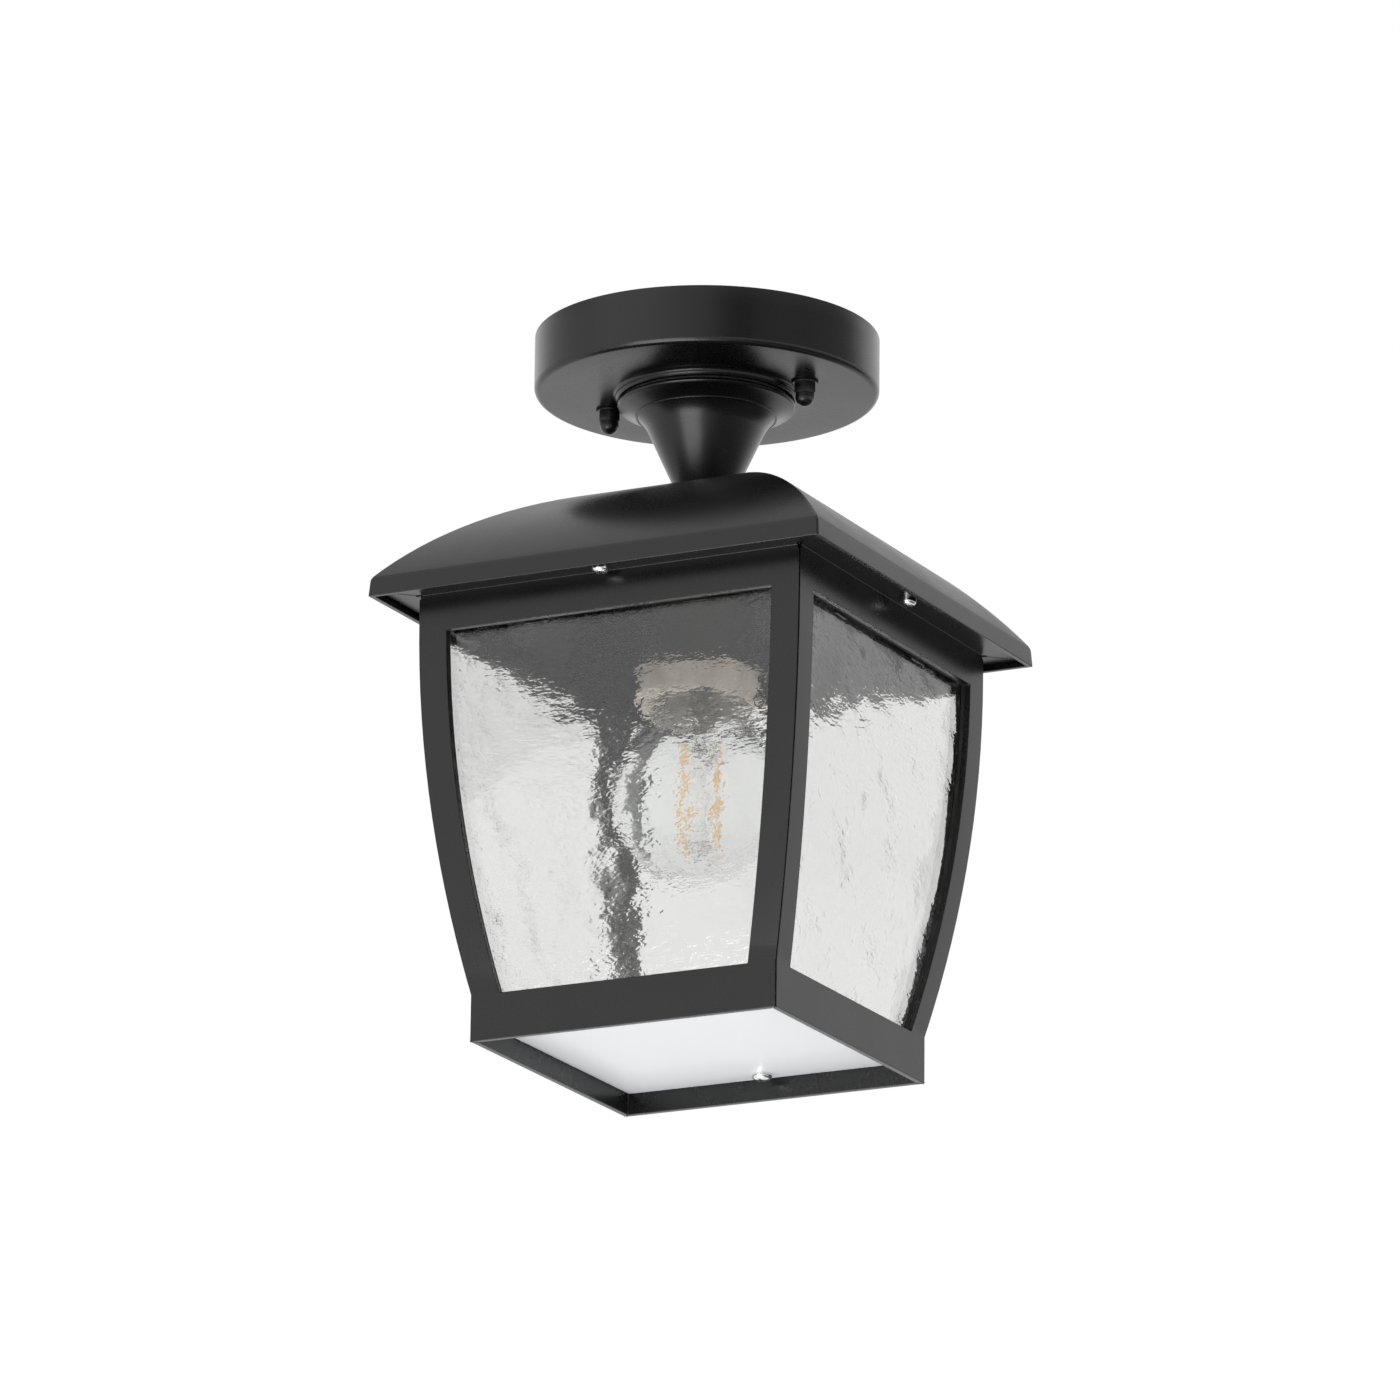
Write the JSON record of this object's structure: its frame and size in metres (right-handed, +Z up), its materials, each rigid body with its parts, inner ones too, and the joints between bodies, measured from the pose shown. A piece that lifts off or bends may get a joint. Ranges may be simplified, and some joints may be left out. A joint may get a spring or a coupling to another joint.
{
  "type": "outdoor ceiling light",
  "caption": "Square black porch lantern with bowed sides and rippled glass, hung under a round ceiling canopy on a short stem, with an arched roof and an opal bottom sheet.",
  "frame": {"origin": "middle of the ceiling plane, on the axis of the stem", "axes": "+Z up into the ceiling, +X to the right seen from the front frame, which faces -Y"},
  "size_m": [0.1712, 0.1712, 0.2595],
  "materials": {
    "black_coat": "satin black powder coat on die-cast aluminium",
    "black_nuts": "semi-gloss black paint on steel",
    "zinc_steel": "bright zinc plating",
    "bright_screws": "bright stainless steel",
    "brass_parts": "plain turned brass",
    "white_plastic": "moulded, matt",
    "black_rubber": "soft, matt",
    "rippled_glass": "clear glass with a hammered, rippled back",
    "opal_sheet": "white opal acrylic, smooth",
    "ceramic": "tan glazed ceramic",
    "bulb_nickel": "nickel plate",
    "bulb_clear": "clear blown glass",
    "black_glass": "black vitrite glass",
    "circuit_board": "green circuit board",
    "filament_coat": "amber phosphor coat"
  },
  "bodies": {
    "fixture": {"canopy": "black_coat", "cap_nuts": "black_nuts", "cap_nut_washers": "black_nuts", "mounting_bar": "zinc_steel", "studs": "zinc_steel", "stud_nuts": "zinc_steel", "terminal_block": "white_plastic", "terminal_inserts": "brass_parts", "terminal_screws": "zinc_steel", "terminal_block_screws": "zinc_steel", "earth_screw": "brass_parts", "nipple": "brass_parts", "nipple_nuts": "brass_parts", "nipple_washers": "zinc_steel", "stem_gasket": "black_rubber", "stem": "black_coat", "foot_gasket": "black_rubber", "roof": "black_coat", "soffit_screws": "bright_screws", "pane_clips": "black_nuts", "pane_clip_screws": "black_nuts", "corner_plates": "zinc_steel", "corner_plate_screws": "zinc_steel", "holder_strap": "zinc_steel", "holder_screws": "zinc_steel", "lampholder": "ceramic", "holder_shell": "brass_parts", "holder_contact": "brass_parts", "side_front": "black_coat", "pane_gasket_front": "black_rubber", "pane_front": "rippled_glass", "side_right": "black_coat", "pane_gasket_right": "black_rubber", "pane_right": "rippled_glass", "side_back": "black_coat", "pane_gasket_back": "black_rubber", "pane_back": "rippled_glass", "side_left": "black_coat", "pane_gasket_left": "black_rubber", "pane_left": "rippled_glass"},
    "bulb": {"bulb_cap": "bulb_nickel", "bulb_insulator": "black_glass", "bulb_tip": "brass_parts", "bulb_driver": "circuit_board", "bulb_stem": "bulb_clear", "bulb_leads": "bulb_nickel", "bulb_filaments": "filament_coat", "bulb_glass": "bulb_clear"},
    "bottom_cover": {"bottom_panel": "opal_sheet", "bottom_panel_screws": "bright_screws"}
  },
  "joints": [
    {"name": "bulb_unscrew", "type": "slide", "parent": "fixture", "child": "bulb", "axis": [0, 0, -1], "range_m": [0, 0.024]},
    {"name": "bottom_cover_off", "type": "slide", "parent": "fixture", "child": "bottom_cover", "axis": [0, 0, -1], "range_m": [0, 0.05]}
  ]
}
